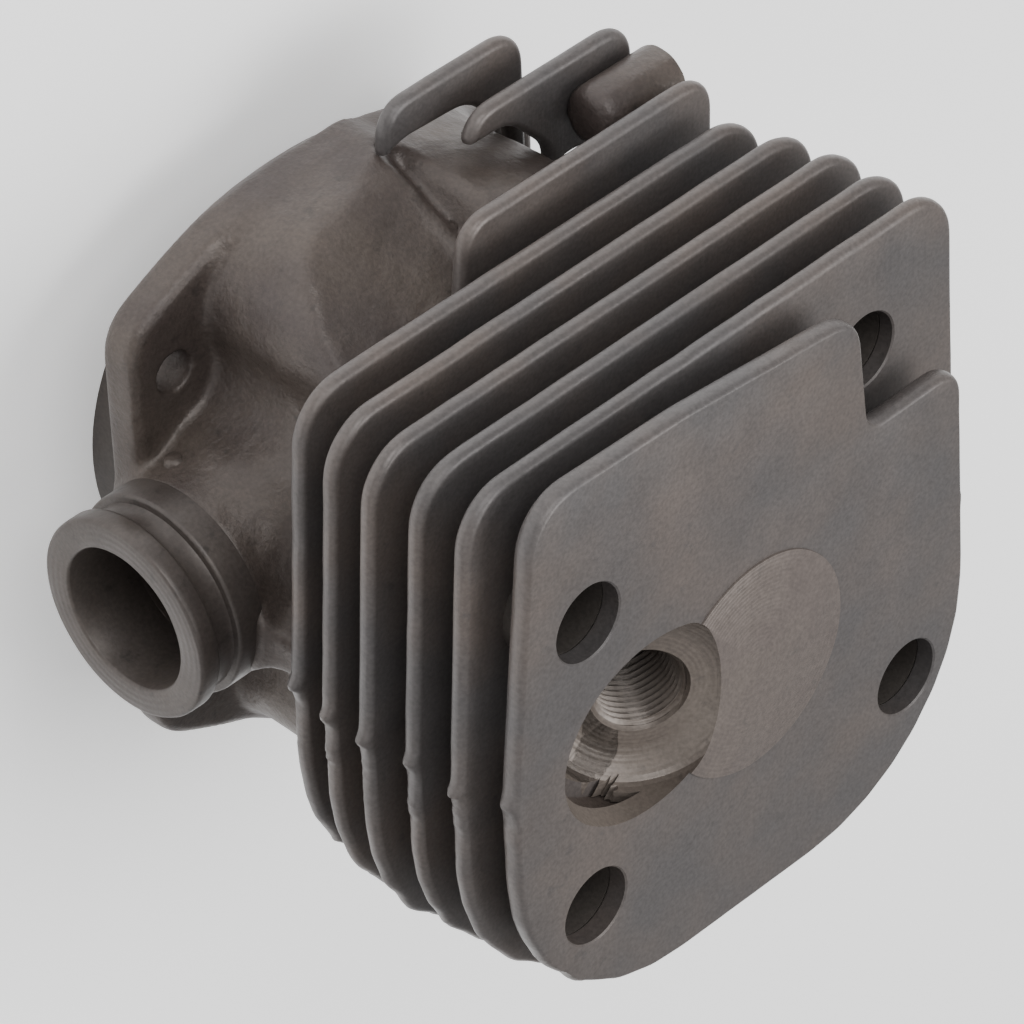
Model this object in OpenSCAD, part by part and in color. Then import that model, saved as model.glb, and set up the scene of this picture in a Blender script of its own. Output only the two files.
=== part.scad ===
// Air-cooled two-stroke cylinder with its head cast in one.
// Origin: bore axis at the gasket face of the base flange. +Z runs up the bore
// to the head, -X is the intake side, +X the exhaust side. Millimetres.
// The real casting is one piece. Its working regions are separate solids here,
// which meet face to face.

/* [Bore and barrel] */
// Diameter of the running bore
bore_d = 54; // [46:0.5:56]
// Wall between the bore and the outside of the barrel
barrel_wall = 6.5; // [5:0.5:9]
// Height of the squish edge above the gasket face
bore_top_z = 62; // [58:0.5:66]
// Length of the skirt below the gasket face
skirt_l = 13.5; // [10:0.5:20]
// Height of the whole ring of the skirt, above its cutaways
skirt_ring = 7.5; // [6.8:0.1:9]
// Wall of the skirt, which is turned a little smaller than the barrel
skirt_wall = 6; // [4.5:0.1:6.1]
// Height of the dome of the combustion chamber over the squish edge
chamber_h = 11; // [8:0.5:14]
// Width of the flat squish band round the chamber
squish_w = 5; // [3:0.5:8]

/* [Head and fins] */
// Height of the top fin's upper face above the gasket face
top_z = 88; // [84:0.5:96]
// Distance from one fin to the next
fin_pitch = 8.1; // [7.5:0.1:9]
// Thickness of a fin
fin_t = 2.8; // [2:0.1:3.4]
// Thickness of the top fin
crown_t = 3.4; // [2.6:0.1:4]
// Reach of the widest fin from the bore axis to the intake side
fin_reach_in = 52.8; // [51:0.1:56]
// Reach of the widest fin from the bore axis to the exhaust side
fin_reach_ex = 53; // [51:0.5:58]
// Height of a head fin's straight edge above the bore axis plane
fin_up = 50.2; // [48:0.1:54]
// Depth of a head fin's lower edge under the bore axis plane
fin_down = 47.5; // [46:0.5:52]
// Reach of the barrel fins to each side
barrel_fin_side = 53.4; // [53:0.1:57]
// Radius of the upper corners of a fin
fin_corner_r = 9; // [6:0.5:11]
// Radius of the lower corners of a fin
fin_sweep_r = 33; // [28:1:36]
// Diameter of the turned pad on the top fin
pad_d = 36; // [30:0.5:38]
// Height of the turned pad over the top fin
pad_h = 0.4; // [0.2:0.1:1]
// Offset of the turned pad from the bore axis plane
pad_off = 2.3; // [0:0.1:4]

/* [Spark plug] */
// Lean of the plug axis towards the intake side, in degrees
plug_lean = 33; // [30:1:36]
// Distance of the plug seat's centre from the bore axis
plug_x = 17.1; // [15:0.1:19]
// Depth of the plug seat's centre below the top fin's face
plug_drop = 6.3; // [5.5:0.1:7]
// Diameter of the tapped hole before threading (M14 x 1.25)
plug_drill_d = 12.8; // [12.6:0.1:13]
// Diameter of the spot face round the plug seat
plug_seat_d = 30; // [27:0.5:31]
// Thickness of the wall that carries the plug seat
plug_boss_wall = 2.2; // [1.5:0.1:3]

/* [Base] */
// Thickness of the base flange
flange_t = 7; // [5:0.5:10]
// Half width of the base flange along X
flange_x = 41.5; // [40:0.5:46]
// Half width of the base flange along Y
flange_y = 49.6; // [47:0.1:52]
// Distance between the base screws along X
screw_dx = 67; // [65:0.5:69]
// Distance between the base screws along Y
screw_dy = 55; // [54:0.5:57]
// Clearance hole of a base screw
screw_hole_d = 6.6; // [5.5:0.1:6.8]
// Hole through the fins for the screw and its key
access_d = 12.4; // [11:0.1:13]
// Wall round an access hole
access_wall = 2.2; // [1.5:0.1:2.6]

/* [Intake] */
// Height of the intake spigot's axis above the gasket face
intake_z = 16.2; // [16:0.1:18]
// Distance of the spigot's end face from the bore axis
intake_reach = 55; // [52:0.5:60]
// Diameter of the passage through the spigot
intake_bore_d = 23; // [18:0.5:24]
// Outside diameter of the spigot's collar and bead
spigot_d = 32.6; // [31:0.1:33]
// Diameter of the groove between collar and bead
groove_d = 29.8; // [28:0.1:30.4]
// Width of the collar
collar_w = 3.7; // [3:0.1:5]
// Width of the groove
groove_w = 3.8; // [3:0.1:5]
// Width of the bead
bead_w = 5; // [4:0.1:6]

/* [Exhaust] */
// Height of the exhaust passage's axis above the gasket face
exhaust_z = 27; // [26:0.5:28]
// Width of the exhaust passage
exhaust_w = 32; // [26:0.5:34]
// Height of the exhaust passage
exhaust_h = 16; // [12:0.5:17]
// Distance of the exhaust face from the bore axis
exhaust_reach = 47; // [46:0.5:50]
// Distance between the muffler screws
muffler_dy = 94; // [92:0.5:97]
// Height of the muffler screws above the gasket face
muffler_z = 28; // [27:0.1:28.5]
// Diameter of a muffler screw boss
muffler_boss_d = 10.4; // [10:0.1:12]
// Hole of a muffler screw before threading (M6)
muffler_drill_d = 5; // [4.8:0.1:5.2]
// Depth of a muffler screw's hole
muffler_drill_l = 12; // [8:1:14]

/* [Transfer ducts] */
// Reach of the transfer ducts from the bore axis plane
duct_reach = 50.5; // [49:0.5:52]
// Wall of a transfer duct
duct_wall = 3; // [2.5:0.1:4]
// Height of the transfer ports' upper edge above the gasket face
transfer_port_z = 28; // [25:0.5:28]
// Height of a transfer port
transfer_port_h = 10; // [8:0.5:12]

/* [Hidden] */

// Colours of the as-cast skin, the fins and the cut surfaces
cast_grey = [0.36, 0.33, 0.31];
fin_grey = [0.30, 0.30, 0.31];
cut_grey = [0.45, 0.42, 0.39];

smooth = 96;
eps = 0.5;                       // how far a cutter runs past the face it cuts
far = 200;                       // longer than any part of the casting
bore_r = bore_d / 2;
barrel_r = bore_r + barrel_wall;

// Fins, counted from the head. The barrel fins leave one place free for the
// muffler screws, so the eighth stands two pitches under the seventh.
fin_steps = [0, 1, 2, 3, 4, 5, 6, 8, 9];
// How far each fin falls short of the widest one, at the intake and exhaust side
short_in = [4, 1.5, 0.9, 0, 0.9, 2.9];
short_ex = [7.2, 0, 0.4, 0.4, 2, 4.4, 7.5, 7, 21.5];
over_side = [0, 1.5, 4];           // extra width of the three barrel fins
function fin_top(k) = top_z - fin_steps[k - 1] * fin_pitch;
function fin_thick(k) = k == 1 ? crown_t : fin_t;
function fin_under(k) = fin_top(k) - fin_thick(k);
parting_y = 1.5;                 // height of the mould's parting line on the fins
side_draft = 3.5;                // how far a fin's side leans in over its height
side_fall = 1.2;                 // how far it leans in under the parting line
bottom_rise = 1.6;               // how far the lower edge rises to the intake side
crown_rise = 1;                  // height of the top fin's edge over the others
crown_fall = 4.2;                // how far that edge falls to the exhaust side
barrel_fin_start = [-6, 12, 3];  // intake-side ends of the barrel fins
barrel_fin_corner = 5.5;
notch_x = 23.5;                  // corner left out of the top fin over screw 4
notch_y = 25.4;
notch_r = 8;
notch_end_r = 4.5;

// Plug axis and seat
plug_dir = [-sin(plug_lean), 0, cos(plug_lean)];
plug_seat = [-plug_x, 0, top_z - plug_drop];
plug_boss_r = plug_seat_d / 2 + plug_boss_wall;
plug_boss_l = 26;
plug_chamfer = 0.9;
seat_flat_r = 10.2;              // the spot face is flat to here, then dished
seat_dish = 2.2;                 // how far its edge stands over the flat

// Chamber: a ball cap that meets the squish band
chamber_rim_r = bore_r - squish_w;
chamber_ball_r = (chamber_rim_r * chamber_rim_r + chamber_h * chamber_h) / (2 * chamber_h);
chamber_ball_z = bore_top_z + chamber_h - chamber_ball_r;

// Access holes for the base screws. The fourth stands a little further out.
access_r = access_d / 2;
column_r = access_r + access_wall;
access_in = 1.5;                 // how far three of them stand inside the screws
access_out = 3;                  // how far the fourth stands outside its screw
key_room = 1.6;                  // room for the key's swing past a barrel fin
access_at = [
  [-screw_dx / 2, screw_dy / 2 - access_in],
  [-screw_dx / 2, -screw_dy / 2 + access_in],
  [screw_dx / 2 - 0.3, -screw_dy / 2 + access_in],
  [screw_dx / 2 - 1, screw_dy / 2 + access_out]];

// Ducts
spigot_root_x = -(intake_reach - collar_w - groove_w - bead_w);
spigot_lip = 0.5;                // chamfer on the spigot's end
exhaust_wall = 3.4;
exhaust_flange_t = 4;
exhaust_r = 6;                   // corner radius of the exhaust passage
duct_x_in = -27;                 // intake-side wall of the ducts
duct_x_ex = 28;                  // exhaust-side wall of the ducts
duct_split = 2;                  // where the two ducts of one side meet
crest_in = 14.5;                 // height up to which an intake-side duct stands upright
crest_ex = 22;                   // the same on the exhaust side
shoulder_in = 36;                // lean of the shoulder above it, from upright
shoulder_ex = 25;
port_deep = 10;                  // how far a port's cutter runs into the bore
boss_x0 = 30.5;                  // inner end of a muffler screw boss
boss_end = 0.5;                  // how far its end stands behind the exhaust face

// Points of a polygon with each corner rounded to its own radius
function unit(v) = v / norm(v);
function prev(list, i) = list[(i + len(list) - 1) % len(list)];
function next(list, i) = list[(i + 1) % len(list)];
function corner(p0, p, p1, r, n) =
  let (a = unit(p0 - p), b = unit(p1 - p), half = acos(a * b) / 2,
    start = p + a * r / tan(half), mid = p + unit(a + b) * r / sin(half),
    from = atan2(start[1] - mid[1], start[0] - mid[0]),
    turn = 180 - 2 * half,
    way = a[0] * b[1] - a[1] * b[0] > 0 ? -1 : 1)
  [for (i = [0 : n]) mid + r * [cos(from + way * turn * i / n), sin(from + way * turn * i / n)]];
function rounded(pts, radii, n = 8) =
  [for (i = [0 : len(pts) - 1]) each radii[i] > 0
    ? corner(prev(pts, i), pts[i], next(pts, i), radii[i], n) : [pts[i]]];

// Outline of a head fin: straight upper edge, sides that lean in from the
// parting line, and wide sweeps at the lower corners
module head_fin_outline(k) {
  left = -(fin_reach_in - short_in[k - 1]);
  right = fin_reach_ex - short_ex[k - 1];
  polygon(rounded(
    [[left + side_draft, fin_up], [left, parting_y], [left + side_fall, -fin_down + bottom_rise],
     [right - 0.4, -fin_down], [right, parting_y], [right - side_draft / 2, fin_up]],
    [fin_corner_r, 0, fin_sweep_r, fin_sweep_r, 0, fin_corner_r]));
}

// Outline of the top fin: the same, with the corner over screw 4 left out
module crown_outline() {
  left = -(fin_reach_in - short_in[0]);
  right = fin_reach_ex - short_ex[0];
  top = fin_up + crown_rise;
  polygon(rounded(
    [[left + side_draft + 1.6, top], [left, parting_y], [left + side_fall, -fin_down + bottom_rise],
     [right - 0.4, -fin_down], [right, -10], [right - 1.4, notch_y], [notch_x + 1, notch_y],
     [notch_x - 1.2, top - crown_fall], [left + 0.5 * (notch_x - left), top - 0.2 * crown_fall]],
    [fin_corner_r, 0, fin_sweep_r, fin_sweep_r, 0, notch_end_r, 2.5, notch_r - 2, 0]));
}

// Outline of a barrel fin, which stands on the exhaust side only
module barrel_fin_outline(k) {
  right = fin_reach_ex - short_ex[k - 1];
  side = barrel_fin_side + over_side[k - 7];
  start = barrel_fin_start[k - 7];
  polygon(rounded(
    [[start, side], [start - 3, side / 2], [start - 3, -side / 2],
     [start, -side], [right, -side], [right, side]],
    [barrel_fin_corner, 0, 0, barrel_fin_corner, barrel_fin_corner, barrel_fin_corner]));
}

// Outline of the base flange, round over the ducts and cut square at the sides
module flange_outline() {
  half = [[-flange_x, flange_y - 13], [-18, flange_y - 1.6], [-4, flange_y],
    [12, flange_y - 2.4], [flange_x, flange_y - 16]];
  turn = [6, 24, 40, 30, 6];
  polygon(rounded(
    [each half, for (i = [4 : -1 : 0]) [half[i][0], -half[i][1]]],
    [each turn, for (i = [4 : -1 : 0]) turn[i]]));
}

// Outer shape of the two transfer ducts of one side, in plan
module duct_plan(intake_side) {
  r = duct_reach;
  if (intake_side)
    polygon(rounded(
      [[duct_split, barrel_r - 8], [duct_x_in, barrel_r - 14], [duct_x_in, barrel_r + 4],
       [duct_x_in + 8, r - 3.5], [duct_split, r - 1.5]],
      [0, 0, 6, 6, 0]));
  else
    polygon(rounded(
      [[duct_x_ex, barrel_r - 14], [duct_split, barrel_r - 8], [duct_split, r - 1.5],
       [duct_split + 5, r], [duct_x_ex - 8, r - 0.5], [duct_x_ex, barrel_r + 8]],
      [0, 0, 0, 5, 8, 6]));
}

// The same plan drawn in by the wall, for the passage inside
module passage_plan(intake_side) {
  x0 = intake_side ? duct_x_in + duct_wall : duct_split + duct_wall / 2;
  x1 = intake_side ? duct_split - duct_wall / 2 : duct_x_ex - duct_wall;
  r = duct_reach - duct_wall - 5;
  polygon(rounded(
    intake_side
      ? [[x0 + 3, barrel_r + 0.5], [x1, barrel_r + 0.5], [x1, r], [x0 + 8, r]]
      : [[x0, barrel_r + 0.5], [x1 - 3, barrel_r + 0.5], [x1 - 9, r], [x0, r]],
    [2, 2, 3, 3]));
}

module barrel_space(z0, z1) {
  translate([0, 0, z0]) cylinder(r = barrel_r, h = z1 - z0, $fn = smooth);
}

module bore_space(z0, z1) {
  translate([0, 0, z0]) cylinder(r = bore_r, h = z1 - z0, $fn = smooth);
}

module access_hole(i, z0, z1) {
  translate([access_at[i][0], access_at[i][1], z0]) cylinder(r = access_r, h = z1 - z0, $fn = 48);
}

// A wider way past the access hole, open towards the exhaust duct
module key_way(i, z0, z1) {
  r = access_r + key_room;
  x = access_at[i][0];
  y = access_at[i][1];
  translate([x, y, z0]) cylinder(r = r, h = z1 - z0, $fn = 48);
  translate([x - r, min(y, 0), z0]) cube([2 * r, abs(y), z1 - z0]);
}

module column_space(i, z0, z1) {
  translate([access_at[i][0], access_at[i][1], z0]) cylinder(r = column_r, h = z1 - z0, $fn = 48);
}

// A cylinder on the plug axis, from one distance over the seat to another
module on_plug_axis(r, from, to) {
  translate(plug_seat) rotate([0, -plug_lean, 0])
    translate([0, 0, from]) cylinder(r = r, h = to - from, $fn = smooth);
}

// What a spot-facing cutter takes away over the seat: a flat, then a dish
module spot_face() {
  edge_r = plug_seat_d / 2;
  translate(plug_seat) rotate([0, -plug_lean, 0]) rotate_extrude($fn = smooth)
    polygon([[0, 0], [seat_flat_r, 0], [edge_r, seat_dish], [edge_r, far / 4], [0, far / 4]]);
}

// Shell of the intake duct, along X
module intake_shell(r, x0, x1) {
  translate([x0, 0, intake_z]) rotate([0, 90, 0]) cylinder(r = r, h = x1 - x0, $fn = smooth);
}

// A block with rounded long edges, along X, about the exhaust axis
module exhaust_block(w, h, r, x0, x1) {
  translate([x0, 0, exhaust_z]) rotate([90, 0, 90]) linear_extrude(x1 - x0)
    polygon(rounded([[-w / 2, -h / 2], [w / 2, -h / 2], [w / 2, h / 2], [-w / 2, h / 2]],
      [r, r, r, r], 6));
}

module exhaust_passage(x0, x1) {
  exhaust_block(exhaust_w, exhaust_h, exhaust_r, x0, x1);
}

module exhaust_shell(x0, x1) {
  exhaust_block(exhaust_w + 2 * exhaust_wall, exhaust_h + 2 * exhaust_wall,
    exhaust_r + exhaust_wall, x0, x1);
}

// A transfer duct's body, up to the first barrel fin. side is 1 or -1.
module duct_outer(side, intake_side) {
  difference() {
    mirror([0, side < 0 ? 1 : 0, 0]) translate([0, 0, flange_t])
      linear_extrude(fin_under(7) - flange_t) duct_plan(intake_side);
    barrel_space(flange_t - eps, top_z);
    duct_shoulder(side, intake_side, 0);
  }
}

// What a duct's sloped shoulder leaves free. Passages are drawn in by the wall.
module duct_shoulder(side, intake_side, drawn_in) {
  crest = intake_side ? crest_in : crest_ex;
  lean = intake_side ? shoulder_in : shoulder_ex;
  mirror([0, side < 0 ? 1 : 0, 0]) translate([-far / 2, duct_reach, crest])
    rotate([lean, 0, 0]) translate([0, -drawn_in, -far]) cube([far, far, 2 * far]);
}

module passage(side, intake_side) {
  difference() {
    mirror([0, side < 0 ? 1 : 0, 0]) translate([0, 0, -eps])
      linear_extrude(transfer_port_z + eps) passage_plan(intake_side);
    duct_shoulder(side, intake_side, duct_wall);
  }
}

// Window from a passage into the bore
module transfer_port(side, intake_side) {
  x0 = intake_side ? duct_x_in + duct_wall + 5 : duct_split + duct_wall / 2 + 1;
  x1 = intake_side ? duct_split - duct_wall / 2 - 1 : duct_x_ex - duct_wall - 6;
  mirror([0, side < 0 ? 1 : 0, 0])
    translate([x0, bore_r - port_deep, transfer_port_z - transfer_port_h])
      cube([x1 - x0, barrel_r - bore_r + port_deep + 2, transfer_port_h]);
}

module all_passages() {
  for (side = [1, -1]) for (intake_side = [true, false]) {
    passage(side, intake_side);
    transfer_port(side, intake_side);
  }
}

module cylinder_barrel() {
  color(cast_grey) difference() {
    barrel_space(0, bore_top_z);
    bore_space(-eps, bore_top_z + eps);
    intake_shell(intake_bore_d / 2, -far / 4, 0);
    exhaust_passage(0, far / 4);
    for (side = [1, -1]) for (intake_side = [true, false]) transfer_port(side, intake_side);
  }
}

// The skirt is cut away on both sides, where the transfer ducts are fed
module skirt() {
  cutaway_w = 44;
  color(cut_grey) difference() {
    translate([0, 0, -skirt_l]) cylinder(r = bore_r + skirt_wall, h = skirt_l, $fn = smooth);
    bore_space(-skirt_l - eps, eps);
    translate([-cutaway_w / 2, -far / 2, -skirt_l - eps])
      cube([cutaway_w, far, skirt_l - skirt_ring + eps]);
  }
}

module combustion_dome() {
  color(cast_grey) difference() {
    barrel_space(bore_top_z, fin_under(1));
    intersection() {
      translate([0, 0, chamber_ball_z]) sphere(r = chamber_ball_r, $fn = smooth);
      translate([0, 0, bore_top_z]) cylinder(r = chamber_rim_r, h = far / 4, $fn = smooth);
    }
    on_plug_axis(plug_boss_r, -plug_boss_l, far / 4);
  }
}

module plug_boss() {
  color(cut_grey) difference() {
    on_plug_axis(plug_boss_r, -plug_boss_l, plug_seat_d / 4);
    spot_face();
    on_plug_axis(plug_drill_d / 2, -plug_boss_l - eps, eps);
    translate(plug_seat) rotate([0, -plug_lean, 0]) translate([0, 0, -plug_chamfer])
      cylinder(r1 = plug_drill_d / 2, r2 = plug_drill_d / 2 + plug_chamfer + 0.01,
        h = plug_chamfer + 0.01, $fn = smooth);
    translate([0, 0, chamber_ball_z]) sphere(r = chamber_ball_r, $fn = smooth);
    translate([0, 0, bore_top_z - far]) cylinder(r = far, h = far, $fn = 24);
    translate([0, 0, fin_under(1)]) cylinder(r = far, h = far, $fn = 24);
  }
}

module crown_pad() {
  color(cut_grey) difference() {
    translate([0, -pad_off, top_z]) cylinder(d = pad_d, h = pad_h, $fn = smooth);
    spot_face();
  }
}

// The top fin closes the head. The spot face and the access holes pass through.
module fin_1() {
  color(fin_grey) difference() {
    translate([0, 0, fin_under(1)]) linear_extrude(crown_t) crown_outline();
    spot_face();
    on_plug_axis(plug_drill_d / 2 + plug_chamfer, -2 * plug_drill_d, eps);
    for (i = [0 : 2]) access_hole(i, fin_under(1) - eps, top_z + eps);
  }
}

module head_fin(k) {
  color(fin_grey) difference() {
    translate([0, 0, fin_under(k)]) linear_extrude(fin_thick(k)) head_fin_outline(k);
    barrel_space(fin_under(k) - eps, fin_top(k) + eps);
    on_plug_axis(plug_boss_r, -plug_boss_l, far / 4);
    for (i = [0 : 2]) column_space(i, fin_under(k) - eps, fin_top(k) + eps);
    if (k > 2) column_space(3, fin_under(k) - eps, fin_top(k) + eps);
    if (k == 2) access_hole(3, fin_under(k) - eps, fin_top(k) + eps);
  }
}

module barrel_fin(k) {
  color(fin_grey) difference() {
    translate([0, 0, fin_under(k)]) linear_extrude(fin_thick(k)) barrel_fin_outline(k);
    barrel_space(fin_under(k) - eps, fin_top(k) + eps);
    exhaust_shell(0, far / 4);
    exhaust_face_space();
    if (k > 7) for (side = [1, -1]) {
      duct_outer(side, false);
      duct_outer(side, true);
    }
    if (k == 8) for (i = [2, 3]) key_way(i, fin_under(k) - eps, fin_top(k) + eps);
    if (k == 7) for (i = [2, 3]) access_hole(i, fin_under(k) - eps, fin_top(k) + eps);
    if (k == 9) translate([-far / 2, -barrel_r, 0]) cube([far, 2 * barrel_r, far]);
  }
}

module fin_2() { head_fin(2); }
module fin_3() { head_fin(3); }
module fin_4() { head_fin(4); }
module fin_5() { head_fin(5); }
module fin_6() { head_fin(6); }
module fin_7() { barrel_fin(7); }
module fin_8() { barrel_fin(8); }
module fin_9() { barrel_fin(9); }

module base_flange() {
  color(cast_grey) difference() {
    linear_extrude(flange_t) flange_outline();
    barrel_space(-eps, flange_t + eps);
    for (x = [-1, 1]) for (y = [-1, 1])
      translate([x * screw_dx / 2, y * screw_dy / 2, -eps])
        cylinder(d = screw_hole_d, h = flange_t + 2 * eps, $fn = 48);
    all_passages();
    intake_shell(spigot_d / 2, -far / 4, -barrel_r / 2);
  }
}

// Collar, groove and bead, turned on one axis
module intake_spigot() {
  color(cast_grey) translate([-intake_reach, 0, intake_z]) rotate([0, 90, 0])
    rotate_extrude($fn = smooth)
      polygon([
        [intake_bore_d / 2, 0], [spigot_d / 2 - spigot_lip, 0], [spigot_d / 2, spigot_lip],
        [spigot_d / 2, collar_w], [groove_d / 2, collar_w], [groove_d / 2, collar_w + groove_w],
        [spigot_d / 2, collar_w + groove_w], [spigot_d / 2, collar_w + groove_w + bead_w],
        [intake_bore_d / 2, collar_w + groove_w + bead_w]]);
}

module intake_duct() {
  color(cast_grey) difference() {
    intake_shell(spigot_d / 2, spigot_root_x, 0);
    intake_shell(intake_bore_d / 2, spigot_root_x - eps, eps);
    barrel_space(-skirt_l, top_z);
    for (side = [1, -1]) duct_outer(side, true);
    translate([-far / 2, -far / 2, -far]) cube(far);
  }
}

// Web that ties the intake duct to the lowest head fin
module intake_web() {
  web_t = 7;
  web_x = -43;
  color(cast_grey) difference() {
    translate([web_x, -web_t / 2 - 3, intake_z]) cube([-web_x, web_t, fin_under(6) - intake_z]);
    intake_shell(spigot_d / 2, -far / 4, 0);
    barrel_space(-skirt_l, top_z);
  }
}

// Round end of an ejector pin's boss on the duct
module casting_peg() {
  peg_x = -38;
  peg_z = 10.6;
  peg_r = 1.7;
  peg_stands = 0.6;
  peg_root = 5.4;
  color(cut_grey) difference() {
    translate([peg_x, spigot_d / 2 + peg_stands, peg_z]) rotate([90, 0, 0])
      cylinder(r = peg_r, h = peg_stands + peg_root, $fn = 32);
    intake_shell(spigot_d / 2, -far / 4, 0);
  }
}

module transfer_duct(side, intake_side) {
  color(cast_grey) difference() {
    duct_outer(side, intake_side);
    passage(side, intake_side);
    transfer_port(side, intake_side);
  }
}

module transfer_duct_intake_left() { transfer_duct(1, true); }
module transfer_duct_intake_right() { transfer_duct(-1, true); }
module transfer_duct_exhaust_left() { transfer_duct(1, false); }
module transfer_duct_exhaust_right() { transfer_duct(-1, false); }

module exhaust_face_space() {
  exhaust_block(exhaust_w + 4 * exhaust_wall, exhaust_h + 3 * exhaust_wall,
    exhaust_r + exhaust_wall, exhaust_reach - exhaust_flange_t, exhaust_reach);
}

module exhaust_duct() {
  color(cast_grey) difference() {
    exhaust_shell(0, exhaust_reach - exhaust_flange_t);
    exhaust_passage(-eps, far / 4);
    barrel_space(-skirt_l, top_z);
    for (side = [1, -1]) duct_outer(side, false);
  }
}

module exhaust_flange() {
  color(cut_grey) difference() {
    exhaust_face_space();
    exhaust_passage(-eps, far / 4);
  }
}

module muffler_boss_space(side) {
  translate([boss_x0, side * muffler_dy / 2, muffler_z]) rotate([0, 90, 0])
    cylinder(d = muffler_boss_d, h = exhaust_reach - boss_end - boss_x0, $fn = 64);
}

module muffler_boss(side) {
  color(cast_grey) difference() {
    muffler_boss_space(side);
    translate([exhaust_reach - boss_end - muffler_drill_l, side * muffler_dy / 2, muffler_z])
      rotate([0, 90, 0]) cylinder(d = muffler_drill_d, h = muffler_drill_l + eps, $fn = 48);
    for (k = [7 : 9]) translate([-far / 2, -far / 2, fin_under(k)]) cube([far, far, fin_t]);
  }
}

module muffler_boss_left() { muffler_boss(1); }
module muffler_boss_right() { muffler_boss(-1); }

// Tube round an access hole, from the lowest head fin to the fin it ends under
module screw_column(i) {
  head = i == 3 ? fin_under(2) : fin_under(1);
  color(cast_grey) difference() {
    column_space(i, fin_under(6), head);
    access_hole(i, fin_under(6) - eps, head + eps);
    barrel_space(-skirt_l, top_z);
    on_plug_axis(plug_boss_r, -plug_boss_l, far / 4);
  }
}

module screw_column_1() { screw_column(0); }
module screw_column_2() { screw_column(1); }
module screw_column_3() { screw_column(2); }
module screw_column_4() { screw_column(3); }

cylinder_barrel();
skirt();
combustion_dome();
plug_boss();
crown_pad();
fin_1();
fin_2();
fin_3();
fin_4();
fin_5();
fin_6();
fin_7();
fin_8();
fin_9();
base_flange();
intake_spigot();
intake_duct();
intake_web();
casting_peg();
transfer_duct_intake_left();
transfer_duct_intake_right();
transfer_duct_exhaust_left();
transfer_duct_exhaust_right();
exhaust_duct();
exhaust_flange();
muffler_boss_left();
muffler_boss_right();
screw_column_1();
screw_column_2();
screw_column_3();
screw_column_4();
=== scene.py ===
# Air-cooled two-stroke cylinder with its head cast in one piece of aluminium.
# Its regions come from the CAD frame; here they get cast rounds, rims and skins.

import math

import bmesh
import bpy
import numpy as np
from mathutils import Matrix, Vector


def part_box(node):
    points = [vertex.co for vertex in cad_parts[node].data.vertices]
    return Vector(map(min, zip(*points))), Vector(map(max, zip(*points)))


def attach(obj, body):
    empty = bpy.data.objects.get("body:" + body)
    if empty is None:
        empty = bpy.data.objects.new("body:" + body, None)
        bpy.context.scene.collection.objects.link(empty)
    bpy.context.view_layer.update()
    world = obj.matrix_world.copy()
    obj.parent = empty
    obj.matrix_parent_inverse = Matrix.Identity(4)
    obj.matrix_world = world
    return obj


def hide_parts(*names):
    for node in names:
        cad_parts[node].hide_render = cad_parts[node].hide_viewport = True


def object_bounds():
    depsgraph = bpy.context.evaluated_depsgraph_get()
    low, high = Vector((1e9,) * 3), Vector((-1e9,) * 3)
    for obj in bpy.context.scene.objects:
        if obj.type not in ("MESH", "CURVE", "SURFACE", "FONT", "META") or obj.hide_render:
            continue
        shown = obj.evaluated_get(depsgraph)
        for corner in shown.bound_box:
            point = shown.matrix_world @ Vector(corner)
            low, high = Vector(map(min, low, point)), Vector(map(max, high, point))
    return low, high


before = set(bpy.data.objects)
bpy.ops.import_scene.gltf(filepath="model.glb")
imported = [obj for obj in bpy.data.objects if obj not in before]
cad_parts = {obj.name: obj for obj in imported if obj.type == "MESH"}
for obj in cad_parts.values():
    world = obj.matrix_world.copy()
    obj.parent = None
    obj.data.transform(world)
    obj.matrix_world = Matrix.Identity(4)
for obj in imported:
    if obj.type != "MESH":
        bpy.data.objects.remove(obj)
cad_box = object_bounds()
scene = bpy.context.scene
MM = 0.001

# ---------------------------------------------------------------------------
# Camera: a long lens that looks down on the head from the intake side, rolled
# so that the cylinder lies over to the right.
camera_data = bpy.data.cameras.new("camera")
camera_data.sensor_width = 36.0
camera_data.lens = 210.94
camera_data.clip_end = 10.0
camera = bpy.data.objects.new("camera", camera_data)
scene.collection.objects.link(camera)
scene.camera = camera
camera_right = Vector((0.69097, -0.02881, 0.72231))
camera_up = Vector((0.46933, 0.77785, -0.41794))
camera_place = Vector((-0.48055, 0.54844, 0.52208))
camera_axes = Matrix((camera_right, camera_up, camera_right.cross(camera_up))).transposed()
camera.matrix_world = Matrix.Translation(camera_place) @ camera_axes.to_4x4()

# ---------------------------------------------------------------------------
# Studio: a plain white sheet under the skirt, large soft lights from the side of
# the transfer ducts and from over the head, a weak one from the intake side and
# an even white room.
floor_z = cad_box[0][2]
floor_half = 3.0
floor_mesh = bpy.data.meshes.new("floor")
floor_mesh.from_pydata(
    [(-floor_half, -floor_half, floor_z), (floor_half, -floor_half, floor_z),
     (floor_half, floor_half, floor_z), (-floor_half, floor_half, floor_z)], [], [(0, 1, 2, 3)])
floor = bpy.data.objects.new("floor", floor_mesh)
scene.collection.objects.link(floor)
floor_paint = bpy.data.materials.new("floor_paint")
floor_paint.use_nodes = True
floor_shader = floor_paint.node_tree.nodes["Principled BSDF"]
floor_shader.inputs["Base Color"].default_value = (0.93, 0.93, 0.93, 1)
floor_shader.inputs["Roughness"].default_value = 0.9
floor_shader.inputs["Emission Color"].default_value = (1, 1, 1, 1)
floor_shader.inputs["Emission Strength"].default_value = 0.45
floor_mesh.materials.append(floor_paint)


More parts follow.
